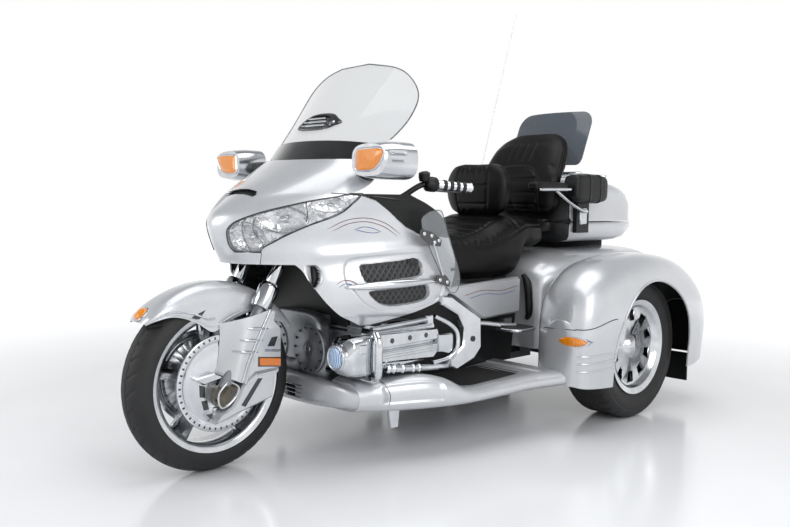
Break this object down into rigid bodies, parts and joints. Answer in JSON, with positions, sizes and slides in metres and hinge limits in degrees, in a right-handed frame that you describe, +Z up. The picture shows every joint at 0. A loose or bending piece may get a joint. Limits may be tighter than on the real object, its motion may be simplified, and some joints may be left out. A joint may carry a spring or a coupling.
{
  "type": "touring trike",
  "caption": "Touring trike: flat-engined motorcycle front with full fairing, windshield and trunk on a two-wheel rear axle under a silver body with round fenders.",
  "frame": {"origin": "on the ground under the middle of the length and width", "axes": "+Z up, nose toward -Y, the rider's left toward +X"},
  "size_m": [1.4164, 2.6599, 1.9159],
  "materials": {
    "silver_paint": "gloss metallic",
    "black_steel": "satin",
    "cast_alloy": "cast satin",
    "chrome": "polished",
    "silver_trim": "bright",
    "fog_glass": "gloss",
    "lamp_glass": "gloss",
    "clear_screen": "gloss",
    "smoked_screen": "gloss",
    "black_plastic": "satin",
    "black_rubber": "matte",
    "amber_lens": "gloss",
    "red_lens": "gloss",
    "black_leather": "satin",
    "white_rod": "gloss",
    "wheel_alloy": "polished",
    "disc_steel": "brushed",
    "tyre_rubber": "matte"
  },
  "bodies": {
    "chassis": {"frame": "black_steel", "engine_block": "cast_alloy", "cylinder_heads": "chrome", "engine_front_cover": "cast_alloy", "lower_cowl": "silver_paint", "lamp_cowls": "chrome", "fog_lamps": "fog_glass", "crash_bars": "chrome", "exhaust": "chrome", "running_boards": "silver_paint", "nose_fairing": "silver_paint", "side_fairings": "silver_paint", "headlights": "lamp_glass", "windshield": "clear_screen", "windshield_garnish": "black_plastic", "mirrors": "silver_trim", "mirror_lamps": "amber_lens", "inner_fairing": "black_plastic", "radiators": "black_steel", "fairing_stay": "black_steel", "tank_cover": "silver_paint", "seat": "black_leather", "rider_backrest": "black_leather", "side_covers": "silver_paint", "trike_body": "silver_paint", "rear_axle": "black_steel", "tail_lamps": "red_lens", "marker_lamps": "amber_lens", "mud_flaps": "black_plastic", "rear_bumper": "silver_paint", "trunk_body": "silver_paint", "speaker_pods": "black_plastic", "armrests": "black_leather", "antenna": "white_rod", "passenger_boards": "chrome", "wind_wings": "clear_screen"},
    "hatch": {"body_hatch": "silver_paint"},
    "trunk_top": {"trunk_lid": "silver_paint", "luggage_rack": "chrome", "passenger_backrest": "black_leather", "rear_deflector": "smoked_screen"},
    "steering": {"fork": "cast_alloy", "fork_covers": "silver_paint", "front_fender": "silver_paint", "fender_lamp": "amber_lens", "handlebar": "black_steel", "hand_grips": "black_rubber", "brake_covers": "chrome"},
    "front_wheel": {"front_rim": "wheel_alloy", "front_tyre": "tyre_rubber", "brake_discs": "disc_steel"},
    "rear_wheel_left": {"rear_rim_left": "wheel_alloy", "rear_tyre_left": "tyre_rubber"},
    "rear_wheel_right": {"rear_rim_right": "wheel_alloy", "rear_tyre_right": "tyre_rubber"}
  },
  "joints": [
    {"name": "steer", "type": "hinge", "parent": "chassis", "child": "steering", "pos_m": [0, -0.65469, 0.83684], "axis": [0, 0.4886, 0.8725], "range_deg": [-30, 30]},
    {"name": "front_spin", "type": "hinge", "parent": "steering", "child": "front_wheel", "pos_m": [0, -1.014, 0.316], "axis": [1, 0, 0], "continuous": true},
    {"name": "rear_left_spin", "type": "hinge", "parent": "chassis", "child": "rear_wheel_left", "pos_m": [0.525, 0.765, 0.313], "axis": [1, 0, 0], "continuous": true},
    {"name": "rear_right_spin", "type": "hinge", "parent": "chassis", "child": "rear_wheel_right", "pos_m": [-0.525, 0.765, 0.313], "axis": [1, 0, 0], "continuous": true},
    {"name": "trunk_open", "type": "hinge", "parent": "chassis", "child": "trunk_top", "pos_m": [0, 0.676, 0.85], "axis": [1, 0, 0], "range_deg": [0, 40]},
    {"name": "hatch_open", "type": "hinge", "parent": "chassis", "child": "hatch", "pos_m": [0, 1.316, 0.646], "axis": [1, 0, 0], "range_deg": [0, 70]}
  ]
}
